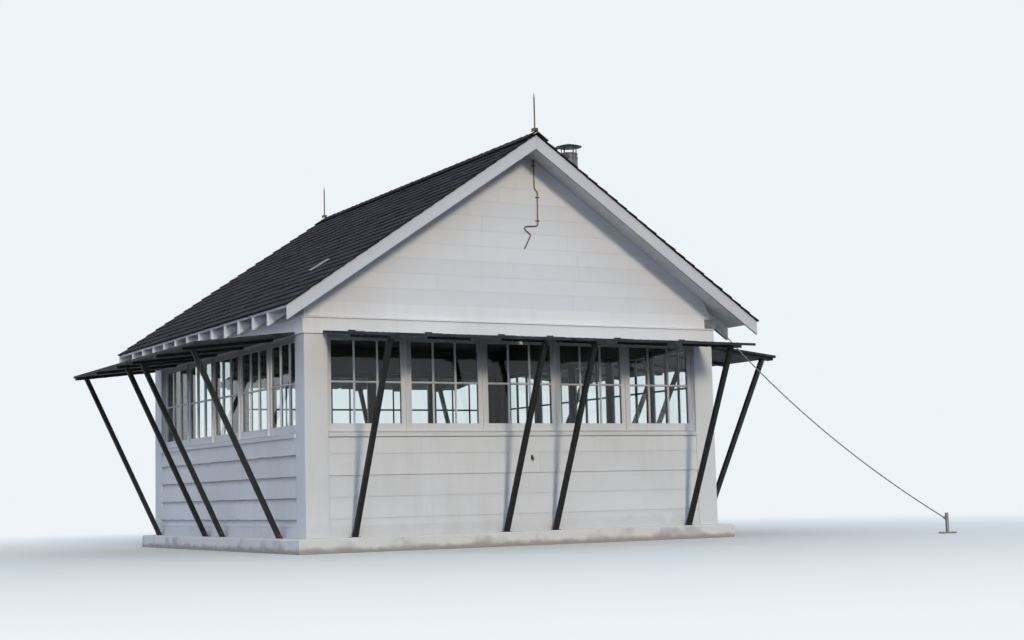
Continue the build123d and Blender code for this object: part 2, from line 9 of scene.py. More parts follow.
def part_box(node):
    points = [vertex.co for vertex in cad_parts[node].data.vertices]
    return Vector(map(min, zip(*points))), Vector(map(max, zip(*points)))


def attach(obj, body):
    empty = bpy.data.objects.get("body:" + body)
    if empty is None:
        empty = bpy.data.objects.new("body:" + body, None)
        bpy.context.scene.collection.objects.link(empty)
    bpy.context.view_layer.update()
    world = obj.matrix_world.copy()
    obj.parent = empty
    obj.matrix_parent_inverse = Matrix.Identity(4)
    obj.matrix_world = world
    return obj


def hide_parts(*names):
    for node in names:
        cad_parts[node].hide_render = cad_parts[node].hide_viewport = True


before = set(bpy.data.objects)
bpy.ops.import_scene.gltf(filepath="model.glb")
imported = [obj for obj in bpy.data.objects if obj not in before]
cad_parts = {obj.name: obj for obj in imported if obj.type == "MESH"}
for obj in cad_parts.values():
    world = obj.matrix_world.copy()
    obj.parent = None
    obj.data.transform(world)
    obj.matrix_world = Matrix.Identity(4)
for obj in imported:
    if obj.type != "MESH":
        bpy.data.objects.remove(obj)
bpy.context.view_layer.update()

# Foundation. A low slab of poured concrete that stands a hand's width proud of the walls all
# round and carries the feet of the shutter props. It was limewashed with the boards above it.


class Wire:
    """A socket on its way through a material. Arithmetic on wires adds Math nodes."""

    def __init__(self, socket):
        self.socket = socket

    def node(self, kind, settings, sockets, outlet=0):
        """Adds any other node: its settings first, then the values or wires of its sockets."""
        tree = self.socket.id_data
        made = tree.nodes.new(kind)
        for name, value in settings.items():
            setattr(made, name, value)
        for key, value in sockets.items():
            if isinstance(value, Wire):
                tree.links.new(value.socket, made.inputs[key])
            else:
                made.inputs[key].default_value = value
        return Wire(made.outputs[outlet])

    def math(self, operation, *others):
        return self.node("ShaderNodeMath", {"operation": operation}, dict(enumerate((self, *others))))

    def __add__(self, other):
        return self.math("ADD", other)

    def __sub__(self, other):
        return self.math("SUBTRACT", other)

    def __rsub__(self, other):
        return self * -1 + other

    def __mul__(self, other):
        return self.math("MULTIPLY", other)

    def between(self, low, high):
        """0 below low, 1 above high, and a smooth step from one to the other."""
        settings = {"interpolation_type": "SMOOTHSTEP"}
        return self.node("ShaderNodeMapRange", settings, {0: self, 1: low, 2: high})

    def mix(self, low, high):
        """The colour low where this wire is 0 and high where it is 1."""
        ends = [end if isinstance(end, Wire) else (*end, 1) for end in (low, high)]
        return self.node("ShaderNodeMix", {"data_type": "RGBA"}, {0: self, 6: ends[0], 7: ends[1]}, 2)

    def times(self, amount):
        """This colour, made lighter or darker by a number's wire."""
        sockets = {0: self, "Scale": amount}
        return self.node("ShaderNodeVectorMath", {"operation": "SCALE"}, sockets)

    def stretch(self, x, y, z):
        """This place, with more ripples to the metre the larger the number."""
        return self.node("ShaderNodeVectorMath", {"operation": "MULTIPLY"}, {0: self, 1: (x, y, z)})

    def noise(self, scale, detail, roughness=0.5):
        sockets = {"Vector": self, "Scale": scale, "Detail": detail, "Roughness": roughness}
        return self.node("ShaderNodeTexNoise", {}, sockets)

    def along(self, axis):
        """This place's distance along one axis: 0 for x, 1 for y, 2 for z."""
        return self.node("ShaderNodeSeparateXYZ", {}, {0: self}, axis)

    def height(self):
        return self.along(2)

    def from_middle(self):
        """How far out of the cab's middle this place is, squared to its walls."""
        sides = [self.along(axis).math("ABSOLUTE") for axis in (0, 1)]
        return sides[0].math("MAXIMUM", sides[1])

    def bump(self, distance):
        """The surface's slope where this wire stands for a height, in parts of the distance."""
        return self.node("ShaderNodeBump", {}, {"Height": self, "Distance": distance})


def new_finish(name):
    """Starts a material, and returns it with the place of each point of its surface in metres."""
    finish = bpy.data.materials.new(name)
    finish.use_nodes = True
    place = finish.node_tree.nodes.new("ShaderNodeTexCoord").outputs["Object"]
    return finish, Wire(place)


def coat(finish, sockets):
    """Wires up the shader's own sockets."""
    shader = finish.node_tree.nodes["Principled BSDF"]
    for name, value in sockets.items():
        if isinstance(value, Wire):
            finish.node_tree.links.new(value.socket, shader.inputs[name])
        else:
            shader.inputs[name].default_value = value


def dress(finish, *nodes):
    """Gives CAD nodes their material."""
    for node in nodes:
        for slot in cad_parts[node].material_slots:
            slot.material = finish


concrete_grey = (0.46, 0.45, 0.43)
limewash = (0.70, 0.69, 0.66)
earth_splash = (0.34, 0.31, 0.27)
concrete, place = new_finish("limewashed_concrete")
washed = (place.noise(3.1, 6) + place.height() * 1.6).between(0.42, 0.62)
pits = place.noise(85, 8, 0.7)
soil = 1 - (place.height() - place.noise(9, 4) * 0.06).between(-0.02, 0.03)
face = washed.mix(concrete_grey, limewash).times(pits * 0.3 + 0.84)
coat(concrete, {
    "Base Color": soil.mix(face, earth_splash),
    "Roughness": 0.9,
    "Normal": (pits + place.noise(14, 3) * 2).bump(0.004),
})
dress(concrete, "foundation")

# Floor. Narrow fir boards, nailed down side by side over the slab. Their varnish has worn off,
# and they show only through the windows and the light of the door.


middle_tone = 0.5


class Joinery:
    """Boards and fittings gathered into one piece. Each board keeps a tone of its own."""

    def __init__(self):
        self.mesh = bmesh.new()
        self.tone = self.mesh.faces.layers.float.new("tone")

    def solid(self, at, corners, tone=middle_tone):
        """A body with six sides. Corners come as x low then high, in it y, and in that z."""
        points = [self.mesh.verts.new(at(*corner)) for corner in corners]
        rings = ((0, 1, 3, 2), (4, 6, 7, 5), (0, 4, 5, 1), (2, 3, 7, 6), (0, 2, 6, 4), (1, 5, 7, 3))
        for ring in rings:
            self.mesh.faces.new([points[i] for i in ring])[self.tone] = tone

    def block(self, at, low, high, tone=middle_tone):
        """A board between two corners, in whatever directions the function at gives."""
        (x0, y0, z0), (x1, y1, z1) = low, high
        self.solid(at, [(x, y, z) for x in (x0, x1) for y in (y0, y1) for z in (z0, z1)], tone)

    def tube(self, line, radius, sides):
        """A round or many-sided bar along a line of points."""
        rows = []
        ends = [line[0], *line, line[-1]]
        across = (line[1] - line[0]).orthogonal().normalized()
        for i, point in enumerate(line):
            along = (ends[i + 2] - ends[i]).normalized()
            across = (across - along * across.dot(along)).normalized()
            other = along.cross(across)
            angles = [math.tau * k / sides for k in range(sides)]
            rows.append([
                self.mesh.verts.new(point + (across * math.cos(a) + other * math.sin(a)) * radius)
                for a in angles
            ])
        for near, far in zip(rows, rows[1:]):
            for k in range(sides):
                ring = (near[k - 1], near[k], far[k], far[k - 1])
                self.mesh.faces.new(ring)[self.tone] = middle_tone
        for cap in (rows[0], rows[-1]):
            self.mesh.faces.new(cap)[self.tone] = middle_tone

    def finish(self, name, finish, slot, replaced=(), eased=0.0, smooth=False):
        """Writes the piece, lets it ride on the cab, and hides the CAD nodes that it stands for."""
        bmesh.ops.recalc_face_normals(self.mesh, faces=self.mesh.faces)
        data = bpy.data.meshes.new(name)
        for face in self.mesh.faces:
            face.smooth = smooth
        self.mesh.to_mesh(data)
        self.mesh.free()
        data.materials.append(finish)
        piece = bpy.data.objects.new(name, data)
        bpy.context.scene.collection.objects.link(piece)
        if eased:
            edge = piece.modifiers.new("eased_edges", "BEVEL")
            edge.width, edge.segments, edge.limit_method = eased, 1, "ANGLE"
        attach(piece, "root")
        if replaced:
            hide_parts(*replaced)


def straight(x, y, z):
    return Vector((x, y, z))


def sawn_wood(name, dark, light, grain, roughness=0.75):
    """Wood with its grain along the direction that has the smallest number in grain."""
    finish, place = new_finish(name)
    tone = place.node("ShaderNodeAttribute", {"attribute_name": "tone"}, {}, "Fac")
    fibre = place.stretch(*grain).noise(1, 6, 0.65)
    stain = place.noise(2.3, 4)
    shade = (fibre * 0.7 + stain * 0.3).between(0.3, 0.7)
    coat(finish, {
        "Base Color": shade.mix(dark, light).times(tone * 0.5 + 0.75),
        "Roughness": (1 - fibre) * 0.2 + (roughness - 0.1),
        "Specular IOR Level": 0.25,
        "Normal": (fibre + place.noise(60, 4) * 0.2).bump(0.0012),
    })
    return finish


def lay_boards(node, across, width, gap):
    """Boards side by side over a node's box, counted across one axis: 0 for x, 1 for y."""
    low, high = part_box(node)
    boards = Joinery()
    count = round((high[across] - low[across]) / width)
    pitch = (high[across] - low[across]) / count
    for i in range(count):
        board_low, board_high = list(low), list(high)
        board_low[across] = low[across] + i * pitch
        board_high[across] = board_low[across] + pitch - gap
        boards.block(straight, board_low, board_high, random.random())
    return boards


random.seed(7)
floor_brown = (0.07, 0.048, 0.032)
floor_pale = (0.19, 0.14, 0.095)
floor_wood = sawn_wood("worn_floor_boards", floor_brown, floor_pale, (4, 140, 140))
floor_board = 0.1
floor_gap = 0.002
boards = lay_boards("floor_deck", 1, floor_board, floor_gap)
boards.finish("floor_boards", floor_wood, "floor_boards", ["floor_deck"])

# Walls. Bevelled boards lap over each other from the skirt board up to the sills, between wide
# corner boards. Their white oil paint has gone chalky, and has flaked off the wood in places.


class Wall:
    """One side of the cab. Along runs to the right as seen from outside, and out points away."""

    def __init__(self, name, along, out):
        self.name = name
        self.along = Vector(along)
        self.out = Vector(out)
        self.reach = abs(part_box("corner_posts")[1].dot(self.out))

    def at(self, along, out, up):
        """The point so far along, so far outside the corner boards, and so high."""
        return self.along * along + self.out * (self.reach + out) + Vector((0, 0, up))

    def span(self, node):
        """Where a node starts and ends along this wall."""
        return sorted(corner.dot(self.along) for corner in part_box(node))


walls = [
    Wall("front", (1, 0, 0), (0, -1, 0)),
    Wall("right", (0, 1, 0), (1, 0, 0)),
    Wall("rear", (-1, 0, 0), (0, 1, 0)),
    Wall("left", (0, -1, 0), (-1, 0, 0)),
]
paint_white = (0.66, 0.665, 0.67)
paint_chalky = (0.60, 0.60, 0.595)
bare_grey = (0.30, 0.27, 0.24)
foot_soil = (0.38, 0.35, 0.30)
# Grey of the painted shade put under each lap, where its shadow falls.
lap_shade_grey = (0.16, 0.165, 0.17)
first_lap = 0.840
siding_exposure = 0.185
# Near-black browns on what faces the room: painted shade for the unlit inside.
room_shade_dark = (0.022, 0.015, 0.010)
room_shade_light = (0.075, 0.048, 0.030)
glass_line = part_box("glass")[1].x - 0.002
lap_wander = 0.16
front_face = (2.10, 2.12)
# How much of the painted lap shade is left on the sunlit front.
sunned_lap_shade = 0.07


def house_paint(name, grain, white=paint_white, flaking=0.66, chalking=1.0, lap_shade=0.0):
    """White paint over boards, with painted shade in near-black brown on what faces the room. The
    boards' grain runs where grain has its smallest number. Painted shade darkens a band under each lap,
    faintly on the sunlit front."""
    finish, place = new_finish(name)
    tone = place.node("ShaderNodeAttribute", {"attribute_name": "tone"}, {}, "Fac")
    fibre = place.stretch(*grain).noise(1, 6, 0.6)
    runs = place.stretch(13, 13, 1.0).noise(1, 4, 0.55)
    chalk = (place.noise(1.2, 4) * 0.7 + runs * 0.3).between(0.30, 0.56)
    flakes = place.stretch(*grain).noise(0.35, 7, 0.7) * 0.5 + place.noise(27, 6, 0.7) * 0.5
    bare = flakes.between(flaking, flaking + 0.02) * place.noise(2.1, 3).between(0.42, 0.60)
    soil = 1 - (place.height() - place.noise(7, 5) * 0.16).between(0.05, 0.19)
    coats = (1 - (1 - chalk) * chalking).mix(paint_chalky, white).times(tone * 0.07 + 0.965)
    # Painted shade under each lap: a dark band just below every butt, full on walls without sun and
    # faint on the front.
    laps_down = (first_lap - place.height()) * (1 / siding_exposure)
    wander = place.noise(6, 5) * lap_wander + (8 - lap_wander / 2)
    below_lap = (laps_down + wander).math("FRACT")
    sunned = (place.along(1) * -1).between(*front_face)
    sunless = 1 - sunned * (1 - sunned_lap_shade)
    painted_lap_shade = (1 - below_lap.between(0.0, 0.30)) * sunless * lap_shade
    outside = (soil * 0.25).mix(painted_lap_shade.mix(bare.mix(coats, bare_grey), lap_shade_grey), foot_soil)
    # What faces the room is painted near-black, as shade for the unlit inside, over the wood's grain.
    inside = fibre.mix(room_shade_dark, room_shade_light)
    room = 1 - place.from_middle().between(glass_line - 0.003, glass_line + 0.001)
    coat(finish, {
        "Base Color": room.mix(outside, inside),
        "Roughness": bare * 0.2 - room * 0.2 + 0.62,
        "Normal": (fibre * 0.5 - bare * 0.6 + place.noise(170, 3) * 0.2).bump(0.0008),
    })
    return finish


# The siding gets the painted shade under its laps.
siding_paint = house_paint("white_paint_siding", (3, 3, 110), lap_shade=0.55)
upright_paint = house_paint("white_paint_upright_boards", (110, 110, 3))
dress(siding_paint, *(f"{wall.name}_wall" for wall in walls))

wall_foot = 0.125
window_head = 1.872
post_wide = 0.215
post_deep = 0.139
board_thick = 0.019
board_joint = 0.0008
behind_board = board_thick + board_joint
posts = Joinery()
for wall in walls:
    near = wall.reach - post_wide
    if wall.name in ("front", "rear"):
        board_end, post_end = wall.reach, wall.reach - behind_board
    else:
        board_end, post_end = wall.reach - behind_board, wall.reach - post_deep
    for end in (-1, 1):
        for far, low_out, high_out in (
            (board_end, -board_thick, 0), (post_end, -post_deep, -behind_board),
        ):
            left, right = sorted((end * near, end * far))
            low_corner = (left, low_out, wall_foot)
            high_corner = (right, high_out, window_head)
            posts.block(wall.at, low_corner, high_corner, random.random())
posts.finish("corner_boards", upright_paint, "white_paint", ["corner_posts"], eased=0.002)

front_butts = (0.011, 0.018, 0.011, 0.013, 0.012)
other_butts = (0.018, 0.019, 0.018, 0.019, 0.018)
siding_head = 0.004
siding_lap = 0.012
corner_set = 0.019
skirt_top = 0.225
joint_from_corner = 0.8
joint_ease = 0.0006
stud_pitch = 0.405
nail_inset = 0.03
nail_rise = 0.025
nail_radius = 0.0035
nail_proud = 0.0008
nail_sunk = 0.002
taper_at_nail = 0.14
siding = Joinery()


def nail(piece, at, along, out, up):
    """A painted nail head, barely proud of its board."""
    piece.tube([at(along, out - nail_sunk, up), at(along, out + nail_proud, up)], nail_radius, 8)


for wall in walls:
    start, stop = wall.span(f"{wall.name}_wall")
    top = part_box(f"{wall.name}_wall")[1].z
    for i, butt in enumerate(front_butts if wall.name == "front" else other_butts):
        bottom = max(first_lap - siding_exposure * i, skirt_top)
        joint = random.uniform(start + joint_from_corner, stop - joint_from_corner)
        thick, thin = butt - corner_set, siding_head - corner_set
        head = top + siding_lap
        section = ((-corner_set, bottom), (-corner_set, head), (thick, bottom), (thin, head))
        for left, right in ((start, joint), (joint, stop)):
            ends = (left + joint_ease, right - joint_ease)
            siding.solid(wall.at, [(x, y, z) for x in ends for y, z in section], random.random())
        for k in range(round((stop - start) / stud_pitch) + 1):
            stud = min(start + nail_inset + k * stud_pitch, stop - nail_inset)
            nail(siding, wall.at, stud, thick - (thick - thin) * taper_at_nail, bottom + nail_rise)
        top = bottom
siding.finish("siding_boards", siding_paint, "white_paint")

# Hook. A bent iron rod on a small plate, fixed to the front wall below the sills. It is black
# iron that has begun to rust, like the hinges.

black_iron, place = new_finish("weathered_black_iron")
rust = place.noise(38, 7, 0.7).between(0.5, 0.68)
coat(black_iron, {
    "Base Color": rust.mix((0.03, 0.03, 0.032), (0.17, 0.07, 0.03)),
    "Metallic": (1 - rust) * 0.7,
    "Roughness": rust * 0.3 + 0.5,
    "Normal": place.noise(150, 5).bump(0.0006),
})
hook_along = 0.081
hook_height = 0.782
hook_rod = 0.004
hook_plate = 0.008
hook_line = [
    (-0.005, 0.012), (0.018, 0.012), (0.028, 0.0), (0.026, -0.018), (0.014, -0.022), (0.008, -0.012),
]
front_hook = Joinery()
rod_line = [walls[0].at(hook_along, out, hook_height + up) for out, up in hook_line]
front_hook.tube(rod_line, hook_rod, 8)
plate_low = (hook_along - hook_plate, -0.012, hook_height - 0.01)
plate_high = (hook_along + hook_plate, 0.0, hook_height + 0.03)
front_hook.block(walls[0].at, plate_low, plate_high)
front_hook.finish("wall_hook", black_iron, "sheet_steel")

# Windows. Each wall is a band of sashes between thin posts, on one long sloping sill. A sash has
# six panes, three across and two high, in bars that are rebated and puttied from outside.

joinery_white = (0.66, 0.67, 0.68)
frame_paint = house_paint("white_paint_window_joinery", (40, 40, 40), joinery_white)
window_nodes = [f"{wall.name}_{part}" for wall in walls for part in ("window_frame", "sashes")]
dress(frame_paint, *window_nodes)

mullion_width = 0.020
stile_width = 0.040
top_rail = 0.045
bottom_rail = 0.065
panes_across = 3
bar_width = 0.020
bar_depth = 0.030
bar_nose = 0.007
glass_behind = 0.0665
sash_count = 5
start, stop = walls[0].span("front_sashes")
sash_pitch = (stop - start + mullion_width) / sash_count
bars = Joinery()


def glazing_bar(at, low, high, across):
    """A bar that is widest at the glass and narrows to a nose outside and inside."""
    mid = [(a + b) / 2 for a, b in zip(low, high)]
    for side in (-1, 1):
        face = -glass_behind + side * bar_depth / 2
        rows = []
        for x, z in ((low[0], low[1]), (low[0], high[1]), (high[0], low[1]), (high[0], high[1])):
            nose_x = x if across else mid[0] + math.copysign(bar_nose / 2, x - mid[0])
            nose_z = mid[1] + math.copysign(bar_nose / 2, z - mid[1]) if across else z
            rows.append(((x, -glass_behind, z), (nose_x, face, nose_z)))
        bars.solid(at, [point for row in rows for point in row])


for wall in walls:
    start, stop = wall.span(f"{wall.name}_sashes")
    low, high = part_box(f"{wall.name}_sashes")
    bottom, top = low.z + bottom_rail, high.z - top_rail
    for i in range(round((stop - start) / sash_pitch)):
        left = start + i * sash_pitch + stile_width
        right = start + (i + 1) * sash_pitch - mullion_width - stile_width
        middle = (bottom + top) / 2
        for k in range(1, panes_across):
            centre = left + (right - left) * k / panes_across
            glazing_bar(wall.at, (centre - bar_width / 2, bottom), (centre + bar_width / 2, top), False)
        glazing_bar(wall.at, (left, middle - bar_width / 2), (right, middle + bar_width / 2), True)
bars.finish("glazing_bars", frame_paint, "white_paint")

pane_glass, place = new_finish("window_glass")
coat(pane_glass, {
    "Base Color": place.noise(5, 5, 0.6).mix((0.84, 0.90, 0.90), (0.92, 0.96, 0.96)),
    "Transmission Weight": 1.0,
    "IOR": 1.33,
    "Roughness": 0.0,
})
dress(pane_glass, "glass")

# Door. A stile and rail door with one sunk panel under a tall light, hung on three butt hinges
# in the rear wall and painted with the walls. Its knobs are dull brass.

dress(upright_paint, "door", "door_frame")
brass, place = new_finish("dull_brass")
coat(brass, {
    "Base Color": place.noise(60, 5).mix((0.24, 0.17, 0.08), (0.55, 0.42, 0.20)),
    "Metallic": 1.0,
    "Roughness": place.noise(35, 4) * 0.3 + 0.25,
})
dress(brass, "door_knobs")

rear = walls[2]
door_right = rear.span("door")[1]
door_low, door_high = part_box("door")
door_face = door_high.y - rear.reach
hinge_places = (0.1, 0.5, 0.9)
hinge_length = 0.09
hinge_pin = 0.006
hinges = Joinery()
for part in hinge_places:
    middle = door_low.z + (door_high.z - door_low.z) * part
    tips = (middle - hinge_length / 2, middle + hinge_length / 2)
    hinges.tube([rear.at(door_right, door_face + hinge_pin, tip) for tip in tips], hinge_pin, 10)
hinges.finish("door_hinges", black_iron, "sheet_steel")

# Headers. A deep timber on each side closes the wall above the windows. Outside, a flat belt
# board runs along it, under a thin drip cap that throws water clear of the shutters' hinges.

belt_white = (0.76, 0.765, 0.775)
belt_paint = house_paint("white_paint_belt", (3, 3, 110), belt_white, 0.70, 0.4)
dress(belt_paint, *(f"{wall.name}_header" for wall in walls))
cap_thick = 0.012
cap_reach = 0.034
belt_top = 2.008
belt_board = 0.019
caps = Joinery()
for wall in walls:
    half = wall.span(f"{wall.name}_header")[1]
    profile = [
        (0, belt_top), (0, belt_top + cap_thick * 1.6),
        (cap_reach, belt_top), (cap_reach, belt_top + cap_thick * 0.6),
    ]
    ends = (-half, half)
    caps.solid(wall.at, [(x, out, up) for x in ends for out, up in profile])
caps.finish("drip_caps", belt_paint, "white_paint")

# Ceiling. Narrow boards nailed up under the rafters' feet, seen from outside through the glass.
# Their near-black colour is painted shade for the unlit room above the windows.

# Near-black painted shade for the unlit ceiling.
ceiling_shade_dark = (0.012, 0.009, 0.007)
ceiling_shade_light = (0.040, 0.028, 0.020)
ceiling_wood = sawn_wood("smoked_ceiling_boards", ceiling_shade_dark, ceiling_shade_light, (130, 4, 130))
ceiling_board = 0.09
ceiling_gap = 0.003
boards = lay_boards("ceiling", 0, ceiling_board, ceiling_gap)
boards.finish("ceiling_boards", ceiling_wood, "bare_timber", ["ceiling"])

# Gables. Flush boards, butted tight and painted, run level from the belt up to the barge boards.
# Each course is of two lengths, nailed twice to every stud behind it.

gable_white = (0.68, 0.69, 0.71)
gable_paint = house_paint("white_paint_gable_boards", (2.5, 2.5, 70), gable_white, 0.72, 0.3)
roof_pitch = math.radians(34)
gable_board = 0.14
gable_thick = 0.100
gable_gap = 0.001
gable_least = 0.02
gable_blunt = 0.003
gable_nail_inset = 0.03
gable_nail_end = 0.04
gable_studs = range(-5, 6)
gable_boards = Joinery()
gable_low, gable_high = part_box("front_gable")
for wall in (walls[0], walls[2]):
    bottom = gable_low.z
    while bottom < gable_high.z - gable_least:
        top = min(bottom + gable_board, gable_high.z - gable_blunt)
        ends = [min(gable_high.x, (gable_high.z - z) / math.tan(roof_pitch)) for z in (bottom, top)]
        seam = random.uniform(-0.7, 0.7) * ends[1]
        for left, right in ((-1, 0), (0, 1)):
            x_low = [-end if left else seam + gable_gap / 2 for end in ends]
            x_high = [end if right else seam - gable_gap / 2 for end in ends]
            gable_boards.solid(wall.at, [
                (x[row], y, z)
                for x in (x_low, x_high)
                for y in (-gable_thick, 0)
                for row, z in ((0, bottom), (1, top - gable_gap))
            ], random.random())
        for i in gable_studs:
            stud = i * stud_pitch
            if abs(stud) < ends[1] - gable_nail_end and top - bottom > gable_board / 2:
                for rise in (gable_nail_inset, gable_board - gable_nail_inset):
                    nail(gable_boards, wall.at, stud, 0, bottom + rise)
        bottom = top
gable_boards.finish("gable_boards", gable_paint, "white_paint", ["front_gable", "rear_gable"])

# Roof frame. Rafters are notched over the headers and lean on a ridge board. Their tails stay
# open under the eaves, and like the roof boards over them they were painted once from below.

eave_white = (0.78, 0.785, 0.79)
barge_white = (0.56, 0.565, 0.59)
eave_paint = house_paint("white_paint_eaves", (12, 12, 12), eave_white, 0.68, 0.3)
dress(eave_paint, "left_rafters", "right_rafters")
barge_paint = house_paint("white_paint_barge_boards", (40, 5, 5), barge_white, 0.64)
dress(barge_paint, "barge_boards")
attic_wood = sawn_wood("bare_attic_timber", (0.12, 0.085, 0.055), (0.26, 0.19, 0.12), (130, 4, 130))
dress(attic_wood, "ridge_board")


class Slope:
    """One side of the roof, measured along the ridge, up from the eave and off the roof boards."""

    def __init__(self, name, side):
        self.name = name
        self.side = side
        low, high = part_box(f"{name}_shingles")
        self.eave = high.x if side > 0 else -low.x
        self.foot = low.z
        self.half = high.y
        self.length = self.eave / math.cos(roof_pitch)

    def at(self, along, up, rise):
        out = self.eave - up * math.cos(roof_pitch) + rise * math.sin(roof_pitch)
        height = self.foot + up * math.sin(roof_pitch) + rise * math.cos(roof_pitch)
        return Vector((self.side * out, along, height))


slopes = [Slope("left", -1), Slope("right", 1)]
deck_thick = 0.024
deck_board = 0.15
deck_gap = 0.004
deck_inset = 0.022
for slope in slopes:
    deck = Joinery()
    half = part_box(f"{slope.name}_roof_deck")[1].y
    up = deck_inset
    while up < slope.length - deck_thick:
        top = min(up + deck_board, slope.length - deck_thick * 0.7)
        deck.block(slope.at, (-half, up, -deck_thick), (half, top - deck_gap, 0), random.random())
        up = top
    deck.finish(f"{slope.name}_roof_boards", eave_paint, "white_paint", [f"{slope.name}_roof_deck"])

# Shingles. Split cedar, laid in courses with a hand's width to the weather over a doubled
# course at the eave. They have weathered almost black, curled a little, and no two are as wide.

shingle_black = (0.009, 0.0083, 0.013)
shingle_grey = (0.030, 0.0265, 0.038)
fresh_grey = (0.30, 0.29, 0.28)
lichen_grey = (0.045, 0.047, 0.045)
shingle_wood, place = new_finish("weathered_shingles")
tone = place.node("ShaderNodeAttribute", {"attribute_name": "tone"}, {}, "Fac")
fibre = place.stretch(7, 150, 7).noise(1, 7, 0.7)
wear = place.noise(1.7, 5, 0.6)
lichen = (place.noise(9, 8, 0.7) * 0.7 + wear * 0.3).between(0.62, 0.70)
aged = (fibre * 0.65 + tone * 0.35).between(0.25, 0.8).mix(shingle_black, shingle_grey)
split = tone.between(1.2, 1.8).mix(aged.times(wear * 0.6 + 0.7), fresh_grey)
coat(shingle_wood, {
    "Base Color": (lichen * 0.4).mix(split, lichen_grey),
    "Roughness": fibre * 0.2 + 0.68,
    "Specular IOR Level": 0.12,
    "Normal": (fibre + place.noise(40, 5) * 0.4).bump(0.0022),
})
courses = 23
crest_gap = 0.006
eave_inset = 0.012
ridge_inset = 0.008
shingle_gap = (0.002, 0.006)
shingle_width = (0.075, 0.21)
sliver = 0.02
butt_thick = (0.008, 0.011)
butt_rise = 0.009
starter_rise = 0.001
curl_rise = 0.003
head_thick = 0.002
butt_wander = 0.005
slip_along = -1.55
slip_up = 0.76
slip_turn = math.radians(14)
slip_width = 0.10
slip_length = 0.20
slip_butt = 0.021
slip_tip = 0.017
slip_thick = 0.007
slipped_tone = 2
for slope in slopes:
    exposure = (slope.length - crest_gap) / courses
    shingles = Joinery()
    for course in range(-1, courses):
        foot = max(course, 0) * exposure + eave_inset
        head = min(foot + 2 * exposure, slope.length - ridge_inset)
        lift = butt_rise if course >= 0 else starter_rise
        along = -slope.half
        while along < slope.half - sliver:
            width = min(random.uniform(*shingle_width), slope.half - along)
            gap = random.uniform(*shingle_gap)
            thick = random.uniform(*butt_thick)
            skew = [random.uniform(-butt_wander, butt_wander) * (course > 0) for end in (0, 1)]
            curl = random.uniform(0, curl_rise) * (course > 0)
            butt = [
                (x, foot + skew[i], rise)
                for i, x in enumerate((along, along + width - gap))
                for rise in (lift + curl, lift + curl + thick)
            ]
            tip = [(x, head, rise) for x in (along, along + width - gap) for rise in (0, head_thick)]
            corners = butt[:2] + tip[:2] + butt[2:] + tip[2:]
            shingles.solid(slope.at, corners, random.random())
            along += width
    if slope.name == "left":
        level, steep = math.cos(slip_turn), math.sin(slip_turn)
        corners = [
            (slip_along + x * level - y * steep, slip_up + x * steep + y * level, rise)
            for x in (0, slip_width)
            for y, under in ((0, slip_butt), (slip_length, slip_tip))
            for rise in (under, under + slip_thick)
        ]
        shingles.solid(slope.at, corners, slipped_tone)
    replaced = [f"{slope.name}_shingles"]
    shingles.finish(f"{slope.name}_wood_shingles", shingle_wood, "weathered_shingle", replaced)

cap_low, cap_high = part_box("ridge_cap")
cap_exposure = 0.13
cap_width = 0.128
cap_thick_butt = 0.012
cap_base = 0.022
cap_overlap = 0.008
cap_steps = 1.9
ridge_caps = Joinery()
count = round((cap_high.y - cap_low.y) / cap_exposure)
step = (cap_high.y - cap_low.y) / count
for i in range(count):
    for slope in slopes:
        crest = slope.length
        near = cap_low.y + i * step
        far = min(near + cap_steps * step, cap_high.y)
        overlap = cap_overlap * (i % 2 == (slope.side > 0))
        corners = [
            (along, up, cap_base + rise)
            for along, rises in ((near, (0, cap_thick_butt)), (far, (-0.001, 0.002)))
            for up in (crest - cap_width, crest + overlap)
            for rise in rises
        ]
        ridge_caps.solid(slope.at, corners, random.random())
ridge_caps.finish("ridge_shingles", shingle_wood, "weathered_shingle", ["ridge_cap"])

# Shutters. Two to a wall, of boards screwed to three ribs, hung from strap hinges on the belt
# and stained nearly black. Pairs of bars hold them out, nearly level, to shade the windows.

stain_dark = (0.010, 0.012, 0.015)
stain_worn = (0.034, 0.038, 0.042)
shutter_wood = sawn_wood("black_stained_boards", stain_dark, stain_worn, (9, 9, 9), 0.7)
droop = math.radians(6.5)
leaf_thick = 0.024
leaf_length = 0.910
leaf_boards = 7
leaf_gap = 0.004
pair_gap = 0.040
rib_thick = 0.024
rib_width = 0.090
rib_start = 0.070
rib_end = 0.010
gable_props = (0.270, 0.200)
side_props = (0.080, 0.380)
prop_half = 0.020
prop_head_out = 0.791
prop_head_lean = -0.34
prop_foot_out = 0.0295
prop_foot_lean = 0.474
screw_step = 0.032
screw_radius = 0.006
screw_head = 0.003
strap_start = 0.004
strap_length = 0.24
strap_width = 0.038
iron_thick = 0.004
plate_rise = 0.045
plate_screw_step = 0.010
knuckle = 0.008
knuckle_half = 0.035
prop_bolt = 0.008
prop_bolt_head = 0.010
tab_half = 0.016
tab_length = 0.030
tab_rise = 0.055
irons = Joinery()
plates = Joinery()


def leaf_at(wall, hinge_height):
    """Points on an open shutter: along the wall, out from its hinge, and down from its top."""
    hinge_out = belt_board + leaf_thick * math.sin(droop)

    def at(along, out, down):
        reach = hinge_out + out * math.cos(droop) - down * math.sin(droop)
        return wall.at(along, reach, hinge_height - out * math.sin(droop) - down * math.cos(droop))

    return at


def screw(at, along, out, down, side):
    """A pan-headed screw, on the top of a leaf where side is -1 and under it where it is 1."""
    irons.tube([at(along, out, down), at(along, out, down + side * screw_head)], screw_radius, 8)


